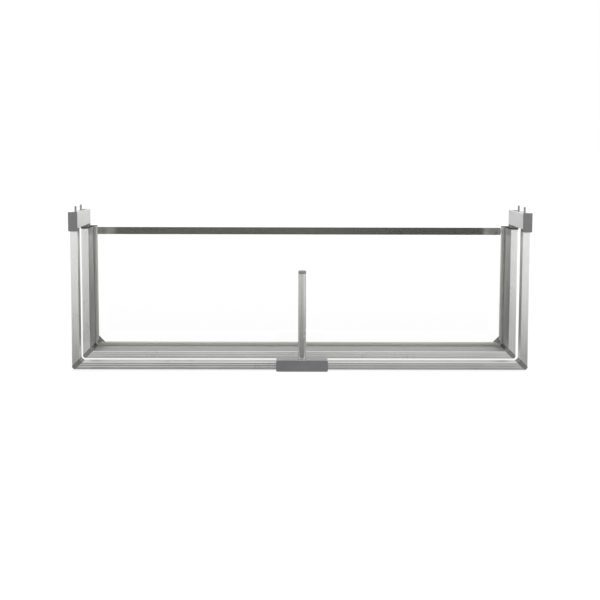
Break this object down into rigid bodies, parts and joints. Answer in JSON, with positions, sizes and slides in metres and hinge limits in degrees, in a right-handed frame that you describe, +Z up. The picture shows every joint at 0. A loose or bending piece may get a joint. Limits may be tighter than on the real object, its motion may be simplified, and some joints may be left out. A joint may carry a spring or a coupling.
{
  "type": "sneeze guard",
  "caption": "Counter sneeze guard: front and rear U-frames of aluminium extrusion joined by studded top brackets, a clear rear pane and a sliding centre post.",
  "frame": {"origin": "bottom centre of the whole object's box, on the surface it stands on", "axes": "+X right along the rails as seen from the front, +Y from the front frame to the rear frame, +Z up the posts"},
  "size_m": [1.207, 0.3086, 0.4318],
  "materials": {
    "extrusion": "satin anodised, fine lines along the extrusion",
    "bracket": "satin anodised",
    "post_tube": "satin anodised tube, fine lines along it",
    "connector": "moulded, fine grain",
    "cap": "moulded, fine grain",
    "bracket_cap": "moulded, fine grain",
    "sleeve": "satin grey powder coat",
    "top_bar": "dark olive grey anodised, satin",
    "stud": "zinc plated thread",
    "steel_screw": "zinc plated",
    "thumb_screw": "moulded, knurled",
    "liner": "plain nylon",
    "pane": "clear, polished",
    "tape": "translucent grey foam",
    "foot": "plain black rubber"
  },
  "bodies": {
    "frame": {"front_left_post": "extrusion", "front_right_post": "extrusion", "front_rail": "extrusion", "rear_left_post": "extrusion", "rear_right_post": "extrusion", "rear_rail": "extrusion", "front_left_corner": "connector", "front_right_corner": "connector", "rear_left_corner": "connector", "rear_right_corner": "connector", "front_left_post_cap": "cap", "front_right_post_cap": "cap", "rear_left_post_cap": "cap", "rear_right_post_cap": "cap", "front_left_post_screw": "steel_screw", "front_left_rail_screw": "steel_screw", "front_right_post_screw": "steel_screw", "front_right_rail_screw": "steel_screw", "rear_left_post_screw": "steel_screw", "rear_left_rail_screw": "steel_screw", "rear_right_post_screw": "steel_screw", "rear_right_rail_screw": "steel_screw", "left_bracket": "bracket", "right_bracket": "bracket", "left_bracket_front_cap": "bracket_cap", "left_bracket_rear_cap": "bracket_cap", "right_bracket_front_cap": "bracket_cap", "right_bracket_rear_cap": "bracket_cap", "left_front_stud": "stud", "left_rear_stud": "stud", "right_front_stud": "stud", "right_rear_stud": "stud", "left_front_stud_nut": "steel_screw", "left_rear_stud_nut": "steel_screw", "right_front_stud_nut": "steel_screw", "right_rear_stud_nut": "steel_screw", "left_bracket_front_bolt": "steel_screw", "left_bracket_rear_bolt": "steel_screw", "right_bracket_front_bolt": "steel_screw", "right_bracket_rear_bolt": "steel_screw", "shield_pane": "pane", "pane_tape": "tape", "rear_top_bar": "top_bar", "top_bar_left_plate": "bracket", "top_bar_right_plate": "bracket", "top_bar_left_outer_screw": "steel_screw", "top_bar_left_inner_screw": "steel_screw", "top_bar_right_outer_screw": "steel_screw", "top_bar_right_inner_screw": "steel_screw", "rear_left_foot": "foot", "rear_right_foot": "foot"},
    "centre_support": {"support_sleeve": "sleeve", "front_liner": "liner", "rear_liner": "liner", "left_lock_screw": "thumb_screw", "right_lock_screw": "thumb_screw", "centre_post": "post_tube", "centre_post_cap": "cap", "centre_post_plug": "liner", "centre_post_bolt": "steel_screw"}
  },
  "joints": [
    {"name": "support_slide", "type": "slide", "parent": "frame", "child": "centre_support", "axis": [1, 0, 0], "range_m": [-0.485, 0.475]}
  ]
}
